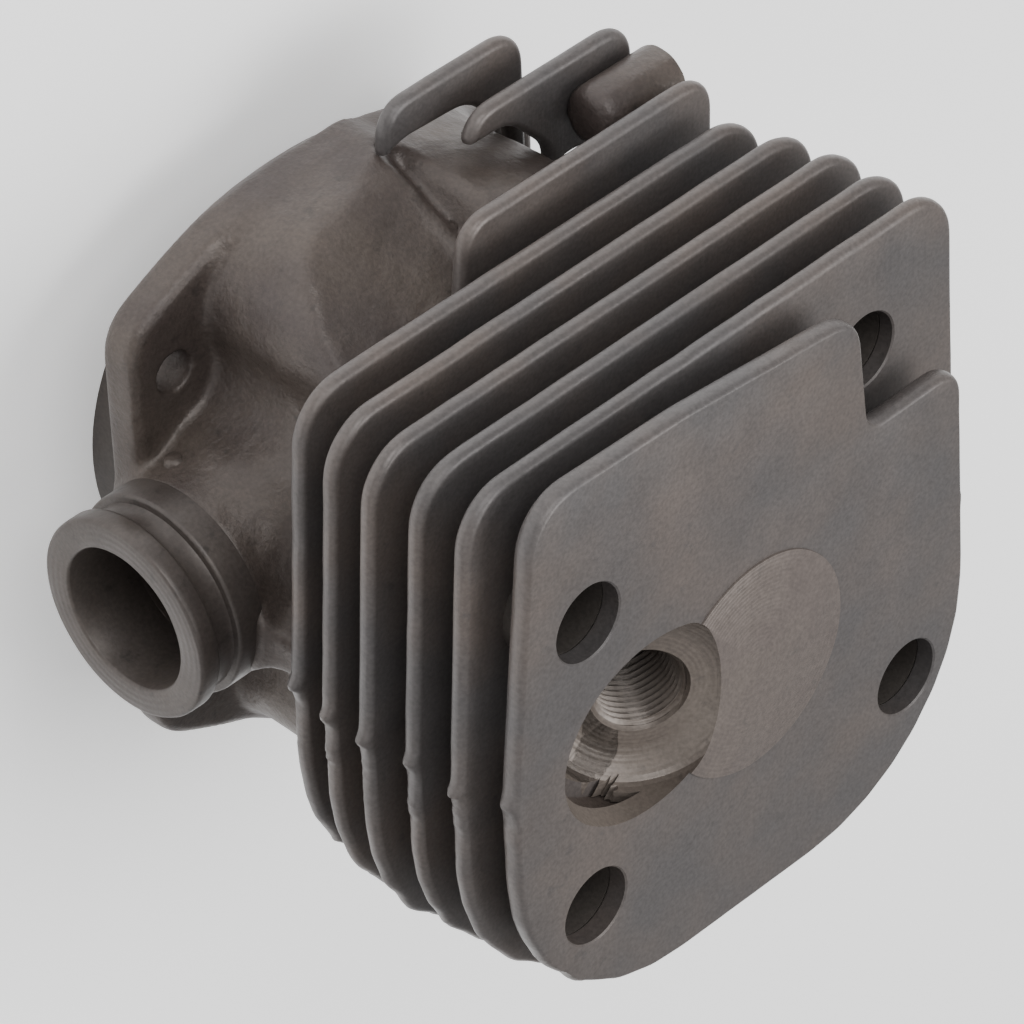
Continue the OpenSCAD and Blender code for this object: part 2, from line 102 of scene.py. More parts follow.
def soft_box(name, place, aim, size, power):
    """A square studio light that faces a point on the casting."""
    data = bpy.data.lights.new(name, "AREA")
    data.shape = "SQUARE"
    data.size = size
    data.energy = power
    lamp = bpy.data.objects.new(name, data)
    lamp.location = place
    lamp.rotation_euler = (Vector(aim) - Vector(place)).to_track_quat("-Z", "Y").to_euler()
    scene.collection.objects.link(lamp)


head_middle = (0, 0, 0.05)
soft_box("key_light", (-0.35, 1.05, 0.75), head_middle, 0.8, 9.0)
soft_box("head_light", (0.35, 0.20, 1.3), head_middle, 0.9, 17.5)
soft_box("intake_light", (-1.1, -0.2, 0.75), head_middle, 0.8, 1.6)
room = bpy.data.worlds.new("room")
room.use_nodes = True
room.node_tree.nodes["Background"].inputs["Color"].default_value = (1, 1, 1, 1)
room.node_tree.nodes["Background"].inputs["Strength"].default_value = 0.5
scene.world = room


# ---------------------------------------------------------------------------
# Cast skin: the aluminium as it left the mould, a brownish grey with warm patches,
# dark spots, a sand-like grain and small pits. Bump depths are in metres.
def add_node(tree, kind, place, **inputs):
    """A shader node with some of its inputs set."""
    node = tree.nodes.new(kind)
    node.location = place
    for name, value in inputs.items():
        node.inputs[name.replace("_", " ")].default_value = value
    return node


def noise(tree, coords, scale, detail, place, rough=0.5):
    """A noise texture on object coordinates."""
    node = add_node(tree, "ShaderNodeTexNoise", place, Scale=scale, Detail=detail, Roughness=rough)
    tree.links.new(coords, node.inputs["Vector"])
    return node.outputs["Fac"]


def ramp(tree, value, stops, place):
    """A colour ramp through the given (position, colour) stops."""
    node = tree.nodes.new("ShaderNodeValToRGB")
    node.location = place
    while len(node.color_ramp.elements) < len(stops):
        node.color_ramp.elements.new(0.5)
    for element, (position, colour) in zip(node.color_ramp.elements, stops):
        element.position = position
        element.color = (*colour, 1)
    tree.links.new(value, node.inputs["Fac"])
    return node.outputs["Color"]


def blend_colours(tree, amount, first, second, place, mode="MIX"):
    """Mixes two colours; amount may be a number or a socket."""
    node = tree.nodes.new("ShaderNodeMix")
    node.data_type = "RGBA"
    node.blend_type = mode
    node.location = place
    for socket, value in ((node.inputs[0], amount), (node.inputs[6], first), (node.inputs[7], second)):
        if isinstance(value, bpy.types.NodeSocket):
            tree.links.new(value, socket)
        else:
            socket.default_value = value if isinstance(value, float) else (*value, 1)
    return node.outputs[2]


def bump(tree, height, strength, distance, place, under=None):
    """A bump node, on top of another one if given."""
    node = add_node(tree, "ShaderNodeBump", place, Strength=strength, Distance=distance)
    tree.links.new(height, node.inputs["Height"])
    if under is not None:
        tree.links.new(under, node.inputs["Normal"])
    return node.outputs["Normal"]


def metal_paint(name, base, patch, dark, metallic, roughness):
    """An aluminium skin: base colour, warm patches, dark spots and soft gloss."""
    paint = bpy.data.materials.new(name)
    paint.use_nodes = True
    tree = paint.node_tree
    shader = tree.nodes["Principled BSDF"]
    shader.inputs["Metallic"].default_value = metallic
    coords = add_node(tree, "ShaderNodeTexCoord", (-1400, 0)).outputs["Object"]
    broad = ramp(tree, noise(tree, coords, 45, 3, (-1200, 300)),
                 [(0.38, base), (0.66, patch)], (-1000, 300))
    spots = ramp(tree, noise(tree, coords, 320, 4, (-1200, 0), 0.65),
                 [(0.27, (0.7, 0.7, 0.7)), (0.40, (0, 0, 0))], (-1000, 0))
    colour = blend_colours(tree, spots, broad, dark, (-700, 200))
    grain = ramp(tree, noise(tree, coords, 1600, 3, (-1200, -250)),
                 [(0.3, (0.82, 0.82, 0.82)), (0.7, (1.12, 1.12, 1.12))], (-1000, -250))
    colour = blend_colours(tree, 1.0, colour, grain, (-500, 200), "MULTIPLY")
    tree.links.new(colour, shader.inputs["Base Color"])
    gloss = ramp(tree, noise(tree, coords, 150, 4, (-1200, -500)),
                 [(0.3, (roughness - 0.08,) * 3), (0.7, (roughness + 0.1,) * 3)], (-1000, -500))
    tree.links.new(gloss, shader.inputs["Roughness"])
    return paint, tree, shader, coords


def cast_skin():
    """The rough skin of the ducts and the flange: a coarse grain with a fine one on it."""
    paint, tree, shader, coords = metal_paint(
        "cast_skin", (0.058, 0.045, 0.041), (0.088, 0.070, 0.059), (0.034, 0.028, 0.025), 0.25, 0.42)
    coarse = noise(tree, coords, 420, 5, (-900, -750), 0.6)
    fine = noise(tree, coords, 1500, 3, (-900, -950), 0.6)
    normal = bump(tree, coarse, 0.55, 0.00045, (-600, -750))
    normal = bump(tree, fine, 0.45, 0.00012, (-400, -850), normal)
    tree.links.new(normal, shader.inputs["Normal"])
    return paint


cast_paint = cast_skin()

# ---------------------------------------------------------------------------
# Lower casting: flange, transfer ducts, intake root, web and exhaust duct run
# into each other with cast rounds. Their common surface is one rounded union of
# simple bodies, sampled on a fine grid and netted. Its sizes are in millimetres.
def middle_of(node):
    """Centre of a CAD node's box, in millimetres."""
    low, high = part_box(node)
    return [(a + b) / 2 / MM for a, b in zip(low, high)]


body_nodes = ("base_flange", "intake_duct", "intake_web", "exhaust_duct",
              "transfer_duct_intake_left", "transfer_duct_intake_right",
              "transfer_duct_exhaust_left", "transfer_duct_exhaust_right")
flange_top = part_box("base_flange")[1][2] / MM
fin_6_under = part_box("fin_6")[0][2] / MM
fin_7_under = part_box("fin_7")[0][2] / MM
intake_low, intake_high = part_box("intake_spigot")
intake_z = middle_of("intake_spigot")[2]
spigot_r = (intake_high[2] - intake_low[2]) / 2 / MM
spigot_root = intake_high[0] / MM
exhaust_z = middle_of("exhaust_duct")[2]
barrel_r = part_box("cylinder_barrel")[1][0] / MM
flange_end = 41.5
intake_lean = 0.628
exhaust_lean = 0.436
intake_crest = 14.5
exhaust_crest = 24.0
valley_x = 4.9
valley_half = 1.9
valley_depth = 1.9
passage_split = 1.5
passage_half = 6.5
intake_passage = (-9.5, 20.0)       # middle in X, top in Z
exhaust_passage = (11.0, 27.0)
intake_bore_r = 11.5
exhaust_shell = (38.8, 22.8, 9.4)   # width, height, corner
exhaust_bore = (32, 16, 6)
screw_x = 33.5
screw_y = 27.5
screw_r = 3.3
key_x = 34.2
key_y = 27.0
key_r = 8.2


def soft_union(a, b, k):
    """Union of two distance fields with a round of about k."""
    h = np.clip(0.5 + 0.5 * (b - a) / k, 0, 1)
    return b + (a - b) * h - k * h * (1 - h)


def soft_cut(a, b, k):
    """What two distance fields have in common, with a rounded edge."""
    return -soft_union(-a, -b, k)


def slab(value, low, high):
    """Distance to the space between two planes."""
    return np.maximum(low - value, value - high)


def half_plane(x, y, x0, y0, x1, y1):
    """Signed distance to the line from one point to another; inside is below it."""
    length = math.hypot(x1 - x0, y1 - y0)
    return ((y - y0) * (x1 - x0) - (x - x0) * (y1 - y0)) / length


def flange_field(x, y, z):
    """The base flange: square at its ends, an arc over the ducts."""
    side = np.abs(y)
    edge = half_plane(x, side, -flange_end, 36.8, -18, 48.4)
    edge = soft_cut(edge, half_plane(x, side, -18, 48.4, -4, 50.0), 6.0)
    edge = soft_cut(edge, half_plane(x, side, -4, 50.0, 12, 47.5), 8.0)
    edge = soft_cut(edge, half_plane(x, side, 12, 47.5, flange_end, 33.9), 6.0)
    edge = soft_cut(edge, np.abs(x) - flange_end, 5.0)
    return soft_cut(edge, slab(z, -0.02, flange_top), 2.4)


def duct_field(x, y, z):
    """The transfer ducts: two lobes a side, upright to a crest and drawn in above it."""
    side = np.abs(y)
    upper_in = (side - 50.6) * math.cos(intake_lean) + (z - intake_crest) * math.sin(intake_lean)
    upper_ex = (side - 50.8) * math.cos(exhaust_lean) + (z - exhaust_crest) * math.sin(exhaust_lean)
    plan_in = half_plane(x, side, -27.2, 37.5, -19, 47.2)
    plan_in = soft_cut(plan_in, half_plane(x, side, -19, 47.2, 2, 49.6), 3.0)
    plan_in = soft_cut(plan_in, -27.0 - x, 2.5)
    lobe_in = soft_cut(soft_cut(plan_in, x - 6.8, 5.0), upper_in, 1.6)
    plan_ex = half_plane(x, side, 2, 49.3, 10, 49.0)
    plan_ex = soft_cut(plan_ex, half_plane(x, side, 10, 49.0, 19, 46.6), 5.0)
    plan_ex = soft_cut(plan_ex, half_plane(x, side, 19, 47.6, 28, 41.5), 6.0)
    plan_ex = soft_cut(soft_cut(plan_ex, 2.7 - x, 5.0), x - 27.6, 4.0)
    lobe_ex = soft_cut(plan_ex, upper_ex, 7.0)
    lobes = soft_union(lobe_in, lobe_ex, 3.0)
    valley = valley_depth * np.exp(-((x - valley_x) / valley_half) ** 2) * np.clip((z - 10.5) / 5, 0, 1)
    return soft_cut(lobes + valley, slab(z, 3, fin_7_under + 0.4), 0.8)


def intake_field(x, y, z):
    """The intake root: a tube that widens into the barrel, tied up by a web."""
    widen = 0.035 * np.clip(x + 43.0, 0, 14) ** 2
    tube = np.hypot(y, z - intake_z) - (spigot_r - 0.25) - widen
    tube = soft_cut(tube, slab(x, spigot_root - 0.4, -20), 0.8)
    web = soft_cut(np.abs(y + 3) - 3.6, slab(x, -43, -20), 1.5)
    web = soft_cut(web, slab(z, intake_z, fin_6_under + 0.4), 1.0)
    return soft_union(tube, web, 5.0)


def block_field(x, y, z, w, h, r):
    """Distance to a long rounded block along X about the exhaust axis."""
    dy = np.maximum(np.abs(y) - w / 2 + r, 0)
    dz = np.maximum(np.abs(z - exhaust_z) - h / 2 + r, 0)
    return np.hypot(dy, dz) - r


def lower_casting_field(x, y, z):
    """The whole lower casting, with its passages left open."""
    barrel = soft_cut(np.hypot(x, y) - barrel_r - 0.25, slab(z, 1, fin_6_under + 0.5), 0.5)
    body = soft_union(barrel, intake_field(x, y, z), 8.0)
    body = soft_union(body, duct_field(x, y, z), 5.0)
    exhaust = soft_cut(block_field(x, y, z, *exhaust_shell), slab(x, 20, 44), 0.6)
    body = soft_union(body, exhaust, 3.0)
    key_room = np.hypot(np.abs(x) - key_x, np.abs(y) - key_y) - key_r
    key_room = soft_cut(key_room, slab(z, flange_top - 0.3, 80), 1.0)
    body = soft_cut(body, -key_room, 1.6)
    body = soft_union(body, flange_field(x, y, z), 2.6)
    wander = (np.sin(x * 0.31 + 1.3) * np.sin(y * 0.27 + 0.4) + np.sin(z * 0.35 + x * 0.12)
              + 0.5 * np.sin(x * 0.83 + z * 0.6) * np.sin(y * 0.71 - z * 0.4))
    body = body + 0.12 * wander * np.clip((z - 7.5) / 4, 0, 1)
    body = np.maximum(body, -z - 0.02)
    body = np.maximum(body, barrel_r - 2.5 - np.hypot(x, y))
    body = np.maximum(body, -np.maximum(np.hypot(y, z - intake_z) - intake_bore_r, x))
    body = np.maximum(body, -np.maximum(block_field(x, y, z, *exhaust_bore), -x))
    middle_x, top = (np.where(x < passage_split, a, b) for a, b in zip(intake_passage, exhaust_passage))
    passage = np.maximum(slab(np.abs(y), 34, 42), np.abs(x - middle_x) - passage_half)
    body = np.maximum(body, -np.maximum(passage, z - top))
    for hole_x in (-screw_x, screw_x):
        for hole_y in (-screw_y, screw_y):
            hole = np.hypot(x - hole_x, y - hole_y) - screw_r
            body = soft_cut(body, -hole, 0.5)
    return body


def net_surface(field, low, high, step):
    """Closed mesh of a field's zero surface: one point per crossed cell, joined in quads."""
    axes = [np.arange(a, b + step, step) for a, b in zip(low, high)]
    x, y, z = np.meshgrid(*axes, indexing="ij")
    value = field(x, y, z)
    inside = value < 0
    n = np.array(value.shape) - 1
    total = np.zeros((*n, 3))
    count = np.zeros(n)
    corners = [(i, j, k) for i in (0, 1) for j in (0, 1) for k in (0, 1)]
    for a in corners:
        for axis in range(3):
            if a[axis]:
                continue
            b = list(a)
            b[axis] = 1
            va = value[a[0]:n[0] + a[0], a[1]:n[1] + a[1], a[2]:n[2] + a[2]]
            vb = value[b[0]:n[0] + b[0], b[1]:n[1] + b[1], b[2]:n[2] + b[2]]
            crossed = (va < 0) != (vb < 0)
            along = np.where(crossed, va / np.where(crossed, va - vb, 1), 0)
            for other in range(3):
                place = along if other == axis else float(a[other])
                total[..., other] += np.where(crossed, place, 0)
            count += crossed
    used = count > 0
    index = np.full(n, -1)
    index[used] = np.arange(used.sum())
    cells = np.argwhere(used)
    points = (cells + total[used] / count[used][:, None]) * step + np.array(low)
    quads = []
    for axis in range(3):
        b, c = [i for i in range(3) if i != axis]
        first = [slice(1, n[i]) for i in range(3)]
        first[axis] = slice(0, n[axis])
        second = list(first)
        second[axis] = slice(1, n[axis] + 1)
        here, there = inside[tuple(first)], inside[tuple(second)]
        for flip, mask in ((False, here & ~there), (True, ~here & there)):
            at = np.argwhere(mask)
            for i in range(3):
                at[:, i] += 0 if i == axis else 1
            ring = []
            for db, dc in ((0, 0), (1, 0), (1, 1), (0, 1)):
                cell = at.copy()
                cell[:, b] -= db
                cell[:, c] -= dc
                ring.append(index[cell[:, 0], cell[:, 1], cell[:, 2]])
            ring = np.stack(ring, axis=1)
            turn = flip if axis != 1 else not flip
            quads.append(ring[:, ::-1] if turn else ring)
    return points * MM, np.concatenate(quads)


def shade(mesh, crease):
    """Shades a mesh smooth up to a crease angle, in degrees."""
    mesh.shade_smooth()
    mesh.set_sharp_from_angle(angle=math.radians(crease))


def piece_from(name, points, faces, paint, crease):
    """A finished object from points and faces."""
    mesh = bpy.data.meshes.new(name)
    mesh.from_pydata([tuple(p) for p in points], [], [tuple(int(i) for i in f) for f in faces])
    mesh.materials.append(paint)
    mesh.validate()
    shade(mesh, crease)
    piece = bpy.data.objects.new(name, mesh)
    scene.collection.objects.link(piece)
    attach(piece, "root")
    return piece


net_step = 0.68
body_points, body_faces = net_surface(
    lower_casting_field, (-47.3, -53.3, -1.3), (47.3, 53.3, 46.7), net_step)
lower_casting = piece_from("lower_casting", body_points, body_faces, cast_paint, crease=60)
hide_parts(*body_nodes)


# ---------------------------------------------------------------------------
# Fins: thin plates with round rims, cast in two halves of a mould that part at
# mid height. The parting line left nibs and ragged flash on the intake side.
def fin_paint_of(name, base, patch, dark, streak):
    """The fins' skin: greyer than the ducts, with fine draw marks along Y."""
    paint, tree, shader, coords = metal_paint(name, base, patch, dark, 0.3, 0.42)
    squeeze = add_node(tree, "ShaderNodeMapping", (-1200, -1100))
    squeeze.inputs["Scale"].default_value = (1.0, 0.03, 1.0)
    tree.links.new(coords, squeeze.inputs["Vector"])
    marks = noise(tree, squeeze.outputs["Vector"], 2600, 3, (-900, -1100), 0.6)
    grain = noise(tree, coords, 900, 4, (-900, -850), 0.6)
    normal = bump(tree, grain, 0.35, 0.00012, (-600, -850))
    normal = bump(tree, marks, streak, 0.00006, (-400, -1000), normal)
    tree.links.new(normal, shader.inputs["Normal"])
    return paint


fin_paint = fin_paint_of("fin_skin", (0.086, 0.079, 0.078), (0.112, 0.093, 0.084),
                         (0.072, 0.065, 0.063), 0.35)
parting_y = 2.0
outline_step = 0.7
rim_rows = 9
hole_turns = 64
hole_edge = 0.25
crown_rim_in = 0.9
fin_rim_in = 1.25
access_r = 6.2
buried_depth = 1.2
buried_push = 0.6


def outer_loop(node):
    """The counter-clockwise outlines of a plate's upper face, in millimetres."""
    mesh = bmesh.new()
    mesh.from_mesh(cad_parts[node].data)
    bmesh.ops.remove_doubles(mesh, verts=mesh.verts, dist=1e-6)
    top = max(v.co.z for v in mesh.verts)
    upper = {f for f in mesh.faces if f.normal.z > 0.99 and f.calc_center_median().z > top - 1e-5}
    links = {}
    for edge in mesh.edges:
        near = [f for f in edge.link_faces if f in upper]
        if len(near) == 1:
            for loop in near[0].loops:
                if loop.edge == edge:
                    links[loop.vert.index] = loop.link_loop_next.vert.index
    mesh.verts.ensure_lookup_table()
    rings = []
    while links:
        start = next(iter(links))
        ring = []
        at = start
        while at in links:
            ring.append(mesh.verts[at].co.xy / MM)
            at = links.pop(at)
        rings.append(np.array([tuple(p) for p in ring]))
    mesh.free()

    def area(ring):
        x, y = ring[:, 0], ring[:, 1]
        return 0.5 * np.sum(x * np.roll(y, -1) - y * np.roll(x, -1))

    return [ring for ring in rings if area(ring) > 50]


def even_points(ring):
    """The same closed outline with points at an even spacing, its facets rounded off."""
    closed = np.vstack([ring, ring[:1]])
    run = np.concatenate([[0], np.cumsum(np.hypot(*np.diff(closed, axis=0).T))])
    count = int(run[-1] / outline_step)
    at = np.linspace(0, run[-1], count, endpoint=False)
    points = np.stack([np.interp(at, run, closed[:, i]) for i in (0, 1)], axis=1)
    for _ in range(3):
        points = 0.25 * np.roll(points, 1, 0) + 0.5 * points + 0.25 * np.roll(points, -1, 0)
    return points


def outward(points):
    """Unit normals of a counter-clockwise ring."""
    along = np.roll(points, -1, 0) - np.roll(points, 1, 0)
    along /= np.linalg.norm(along, axis=1)[:, None]
    return np.stack([along[:, 1], -along[:, 0]], axis=1)


def flash(points, seed):
    """How far the rim stands out: small waves, rough flash near the parting line and a nib."""
    x, y = points[:, 0], points[:, 1]
    run = np.arange(len(points))
    rng = np.random.default_rng(seed)
    coarse = np.interp(run, run[::6], rng.normal(0, 1, len(run[::6])), period=len(run))
    fine = rng.normal(0, 1, len(run))
    intake = 1 / (1 + np.exp((x + 30) / 2))
    near = np.exp(-((y - parting_y + 6) / 7) ** 2)
    out = 0.05 * coarse
    out += intake * near * (0.18 * coarse + 0.10 * fine)
    out += intake * 0.9 * np.exp(-((y - parting_y + rng.uniform(-0.6, 0.6)) / 1.0) ** 2)
    out -= intake * 0.35 * np.exp(-((y - parting_y + 4) / 2.2) ** 2)
    lower = np.clip((-y - 22) / 12, 0, 1) * intake
    out += lower * 0.35 * np.sin(run * 0.45 + seed) * (0.4 + 0.6 * (coarse > 0))
    right = 1 / (1 + np.exp(-(x - 40) / 2))
    out += right * 0.5 * np.exp(-((y - 0.7) / 1.2) ** 2)
    return out


def join_rows(mesh, upper, lower, inward=False):
    """Joins two closed rows of vertices with quads."""
    for i in range(len(upper)):
        j = (i + 1) % len(upper)
        corners = (upper[i], lower[i], lower[j], upper[j])
        mesh.faces.new(corners[::-1] if inward else corners)


def row_edges(mesh, row):
    """The edges along a closed row of vertices."""
    return [mesh.edges.get((row[i], row[(i + 1) % len(row)])) for i in range(len(row))]


def circle_row(mesh, x, y, radius, z):
    """A level circle of vertices."""
    row = []
    for i in range(hole_turns):
        angle = 2 * math.pi * i / hole_turns
        row.append(mesh.verts.new((x + radius * math.cos(angle), y + radius * math.sin(angle), z)))
    return row


def plate(name, node, holes, rim_in, seed, buried=None):
    """A fin: even outline, round rim, and straight-walled holes (x, y, radius)."""
    low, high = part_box(node)
    low_z, high_z = low[2] / MM, high[2] / MM
    middle, half = (low_z + high_z) / 2, (high_z - low_z) / 2
    points, faces = [], []
    for part, loop in enumerate(outer_loop(node)):
        ring = even_points(loop)
        normals = outward(ring)
        push = flash(ring, seed + part)
        if buried is not None:
            hidden = buried(ring)
            push = np.where(hidden, buried_push, push)
        mesh = bmesh.new()
        rows = []
        for step in range(rim_rows):
            angle = math.radians(90 - 180 * step / (rim_rows - 1))
            spot = ring + normals * (push * math.cos(angle) - rim_in * (1 - math.cos(angle)))[:, None]
            if buried is not None:
                spot = np.where(hidden[:, None], ring + normals * buried_push, spot)
            z = middle + half * math.sin(angle)
            rows.append([mesh.verts.new((p[0], p[1], z)) for p in spot])
        for upper, lower in zip(rows, rows[1:]):
            join_rows(mesh, upper, lower)
        edges_top = row_edges(mesh, rows[0])
        edges_low = row_edges(mesh, rows[-1])
        for hole_x, hole_y, hole_r in holes:
            walls = [(hole_edge, high_z), (0.0, high_z - hole_edge),
                     (0.0, low_z + hole_edge), (hole_edge, low_z)]
            hole_rows = [circle_row(mesh, hole_x, hole_y, hole_r + grow, z) for grow, z in walls]
            for upper, lower in zip(hole_rows, hole_rows[1:]):
                join_rows(mesh, upper, lower, inward=True)
            edges_top += row_edges(mesh, hole_rows[0])
            edges_low += row_edges(mesh, hole_rows[-1])
        bmesh.ops.triangle_fill(mesh, edges=edges_top, use_beauty=True, normal=(0, 0, 1))
        bmesh.ops.triangle_fill(mesh, edges=edges_low, use_beauty=True, normal=(0, 0, -1))
        bmesh.ops.recalc_face_normals(mesh, faces=mesh.faces)
        base = sum(len(p) for p in points)
        mesh.verts.index_update()
        points.append(np.array([tuple(v.co) for v in mesh.verts]) * MM)
        faces += [[v.index + base for v in f.verts] for f in mesh.faces]
        mesh.free()
    piece = piece_from(name, np.concatenate(points), faces, fin_paint, crease=40)
    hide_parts(node)
    return piece


columns = [middle_of("screw_column_%d" % i)[:2] for i in (1, 2, 3, 4)]
tube_holes = [(*c, access_r + 1) for c in columns[:3]] + [(*columns[3], access_r)]
fins = {}
fins[1] = plate("fin_top", "fin_1", [(*c, access_r) for c in columns[:3]], crown_rim_in, 11)
fins[2] = plate("fin_head_2", "fin_2", tube_holes, fin_rim_in, 22)
for number in (3, 4, 5, 6):
    dome_hole = [(0, 0, barrel_r - 2)] if number > 3 else []
    fins[number] = plate("fin_head_%d" % number, "fin_%d" % number, dome_hole, fin_rim_in, 11 * number)


def inside_casting(z):
    """Tells which points of a plate at height z lie inside the lower casting."""
    return lambda ring: lower_casting_field(ring[:, 0], ring[:, 1], np.full(len(ring), z)) < -buried_depth


for number in (7, 8, 9):
    middle_z = middle_of("fin_%d" % number)[2]
    fins[number] = plate("fin_barrel_%d" % number, "fin_%d" % number, [], fin_rim_in, 11 * number,
                         inside_casting(middle_z))

# ---------------------------------------------------------------------------
# Spark plug seat: a spot-facing cutter and a tap, both on the leaning plug axis.
# They cut the top fin, the pad on it and the boss, and leave turned rings.
plug_lean = math.radians(33)
plug_place = Vector((-17.1, 0, 81.7))
plug_turn = Matrix.Rotation(-plug_lean, 4, "Y")
plug_frame = Matrix.Translation(plug_place) @ plug_turn


def turned_paint(name, base, patch, dark, centre, tilt, pitch, depth):
    """A cut surface: brownish bright metal with fine rings about an axis."""
    paint, tree, shader, coords = metal_paint(name, base, patch, dark, 0.3, 0.40)
    place = tree.nodes.new("ShaderNodeMapping")
    place.vector_type = "TEXTURE"
    place.inputs["Location"].default_value = centre
    place.inputs["Rotation"].default_value = (0, tilt, 0)
    tree.links.new(coords, place.inputs["Vector"])
    rings = tree.nodes.new("ShaderNodeTexWave")
    rings.wave_type = "RINGS"
    rings.rings_direction = "Z"
    rings.inputs["Scale"].default_value = 1 / pitch / 3.2
    rings.inputs["Distortion"].default_value = 0.6
    rings.inputs["Detail"].default_value = 2.0
    rings.inputs["Detail Scale"].default_value = 3.0
    tree.links.new(place.outputs["Vector"], rings.inputs["Vector"])
    grain = noise(tree, coords, 1100, 4, (-900, -850), 0.6)
    normal = bump(tree, rings.outputs["Fac"], depth, 0.00008, (-600, -850))
    normal = bump(tree, grain, 0.3, 0.00012, (-400, -950), normal)
    tree.links.new(normal, shader.inputs["Normal"])
    return paint


seat_paint = turned_paint("seat_skin", (0.115, 0.095, 0.082), (0.150, 0.126, 0.108), (0.075, 0.064, 0.057),
                          tuple(plug_place * MM), -plug_lean, 0.0007, 0.25)


def turned(profile, turns, frame_of, wobble=0.0, seed=1):
    """Closed body turned from (radius, height) points, placed by a matrix, in metres."""
    rng = np.random.default_rng(seed)
    phase = rng.uniform(0, 2 * math.pi, 3)
    points, faces = [], []
    for i in range(turns):
        angle = 2 * math.pi * i / turns
        grow = wobble * sum(math.sin(n * angle + p) for n, p in zip((3, 5, 9), phase)) / 3
        for r, h in profile:
            out = r + (grow if r > 1 else 0)
            place = frame_of @ Vector((out * math.cos(angle), out * math.sin(angle), h))
            points.append(tuple(place * MM))
    count = len(profile)
    for i in range(turns):
        j = (i + 1) % turns
        for k in range(count):
            n = (k + 1) % count
            faces.append((i * count + k, j * count + k, j * count + n, i * count + n))
    return points, faces


def solid_mesh(name, points, faces):
    """A scratch object with merged points and outward faces."""
    mesh = bpy.data.meshes.new(name)
    mesh.from_pydata(points, [], faces)
    work = bmesh.new()
    work.from_mesh(mesh)
    bmesh.ops.remove_doubles(work, verts=work.verts, dist=1e-7)
    bmesh.ops.dissolve_degenerate(work, edges=work.edges, dist=1e-8)
    bmesh.ops.recalc_face_normals(work, faces=work.faces)
    work.to_mesh(mesh)
    work.free()
    body = bpy.data.objects.new(name, mesh)
    scene.collection.objects.link(body)
    return body


def cut_with(piece, cutter, operation="DIFFERENCE"):
    """Cuts a finished piece with a closed body, as plain mesh."""
    step = piece.modifiers.new("cut", "BOOLEAN")
    step.operation = operation
    step.solver = "EXACT"
    step.object = cutter
    graph = bpy.context.evaluated_depsgraph_get()
    mesh = bpy.data.meshes.new_from_object(piece.evaluated_get(graph))
    piece.modifiers.remove(step)
    piece.data = mesh
    shade(mesh, 32)
    for face in mesh.polygons:
        face.use_smooth = face.material_index == 0


def as_tool(cutter):
    """Gives a cutter's faces the second material slot, so that what it cuts looks turned."""
    cutter.data.materials.append(fin_paint)
    cutter.data.materials.append(seat_paint)
    for face in cutter.data.polygons:
        face.material_index = 1


def scrap(*bodies):
    """Takes scratch bodies away."""
    for body in bodies:
        bpy.data.objects.remove(body, do_unlink=True)


dish = [(10.2, 0.0), (11.5, 0.28), (13.0, 0.95), (14.2, 1.7), (14.8, 2.3), (15.0, 3.1)]
seat_profile = [(0.0, 0.0)] + dish + [(15.05, 40.0), (0.0, 40.0)]
spot_cutter = solid_mesh("spot_cutter", *turned(seat_profile, 180, plug_frame, 0.05, 4))
chamfer_mouth = [(7.5, 0.25), (7.5, 1.0), (0.0, 1.0)]
drill_profile = [(0.0, -30.0), (7.05, -30.0), (7.05, -0.7)] + chamfer_mouth
drill_cutter = solid_mesh("drill_cutter", *turned(drill_profile, 96, plug_frame))
as_tool(spot_cutter)
as_tool(drill_cutter)
for number in (1, 2, 3):
    fins[number].data.materials.append(seat_paint)
    cut_with(fins[number], spot_cutter)
    cut_with(fins[number], drill_cutter)

# ---------------------------------------------------------------------------
# Pad on the crown: a thin disc turned flat beside the plug, with a worn edge and
# the same spot face cut out of it.
pad_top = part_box("crown_pad")[1][2] / MM
pad_under = 87.98
pad_r = 18.0
pad_profile = [(0.0, pad_under), (pad_r, pad_under), (pad_r, pad_top - 0.16), (pad_r - 0.05, pad_top - 0.06),
               (pad_r - 0.2, pad_top), (0.0, pad_top)]
pad_frame = Matrix.Translation((0, -2.3, 0))
pad_body = solid_mesh("crown_disc", *turned(pad_profile, 200, pad_frame, 0.06, 9))
pad_paint = turned_paint("pad_skin", (0.122, 0.100, 0.091), (0.142, 0.119, 0.105), (0.100, 0.086, 0.078),
                         (0, -0.0023, 0), 0.0, 0.0007, 0.25)
pad_body.data.materials.append(pad_paint)
pad_body.data.materials.append(seat_paint)
cut_with(pad_body, spot_cutter)
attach(pad_body, "root")
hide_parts("crown_pad")

# ---------------------------------------------------------------------------
# Plug boss: the metal round the tapped hole. The spot face lies on it and a
# ragged hole broke through at its deep side, where the fin gap is near.
boss_r = 16.9
boss_under = 66.0
boss_top = 84.6
slab_half = 60
boss_profile = [(0.0, -24.0), (boss_r, -24.0), (boss_r, 4.2), (0.0, 4.2)]
boss = solid_mesh("plug_seat", *turned(boss_profile, 160, plug_frame))
boss.data.materials.append(seat_paint)
boss.data.materials.append(seat_paint)
slab_corners = ((-1, -1), (1, -1), (1, 1), (-1, 1))
slab_points = [(a * slab_half * MM, b * slab_half * MM, z * MM)
               for z in (boss_under, boss_top) for a, b in slab_corners]
slab_faces = [(0, 3, 2, 1), (4, 5, 6, 7), (0, 1, 5, 4), (1, 2, 6, 5), (2, 3, 7, 6), (3, 0, 4, 7)]
head_slab = solid_mesh("head_slab", slab_points, slab_faces)
cut_with(boss, head_slab, "INTERSECT")
cut_with(boss, spot_cutter)


